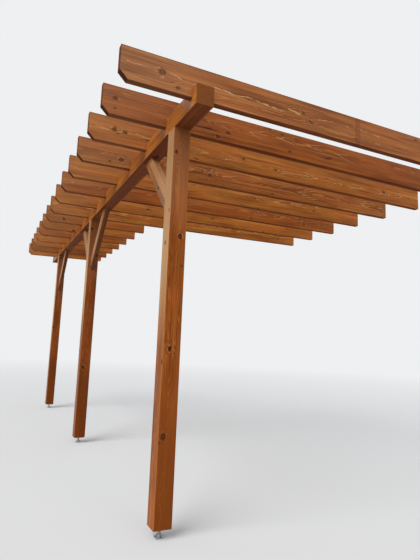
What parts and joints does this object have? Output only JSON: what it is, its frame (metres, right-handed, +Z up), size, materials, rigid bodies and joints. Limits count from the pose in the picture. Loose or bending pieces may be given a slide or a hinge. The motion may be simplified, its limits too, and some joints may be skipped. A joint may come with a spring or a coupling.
{
  "type": "lean-to timber pergola",
  "caption": "Lean-to pergola of stained timber: a row of square posts on steel feet, a long beam with knee braces, and notched rafters running to a wall.",
  "frame": {"origin": "centre of the middle post's base plate, on its underside, at floor level", "axes": "+X along the beam towards its near end, +Y from the beam towards the wall, +Z up"},
  "size_m": [6.755, 3.64, 2.987],
  "materials": {
    "post_timber": "satin stained",
    "beam_timber": "satin stained",
    "brace_timber": "satin stained",
    "rafter_timber": "satin stained",
    "galvanised_steel": "dull galvanised"
  },
  "bodies": {
    "root": {"front_beam": "beam_timber", "post_near": "post_timber", "post_middle": "post_timber", "post_far": "post_timber", "knee_brace_near_post_far_side": "brace_timber", "knee_brace_middle_post_near_side": "brace_timber", "knee_brace_middle_post_far_side": "brace_timber", "knee_brace_far_post_near_side": "brace_timber", "rafter_01": "rafter_timber", "rafter_02": "rafter_timber", "rafter_03": "rafter_timber", "rafter_04": "rafter_timber", "rafter_05": "rafter_timber", "rafter_06": "rafter_timber", "rafter_07": "rafter_timber", "rafter_08": "rafter_timber", "rafter_09": "rafter_timber", "rafter_10": "rafter_timber", "rafter_11": "rafter_timber", "rafter_12": "rafter_timber", "rafter_13": "rafter_timber", "rafter_14": "rafter_timber", "rafter_15": "rafter_timber", "foot_base_near": "galvanised_steel", "foot_nut_near": "galvanised_steel", "foot_head_plate_near": "galvanised_steel", "foot_base_middle": "galvanised_steel", "foot_nut_middle": "galvanised_steel", "foot_head_plate_middle": "galvanised_steel", "foot_base_far": "galvanised_steel", "foot_nut_far": "galvanised_steel", "foot_head_plate_far": "galvanised_steel"}
  },
  "joints": []
}
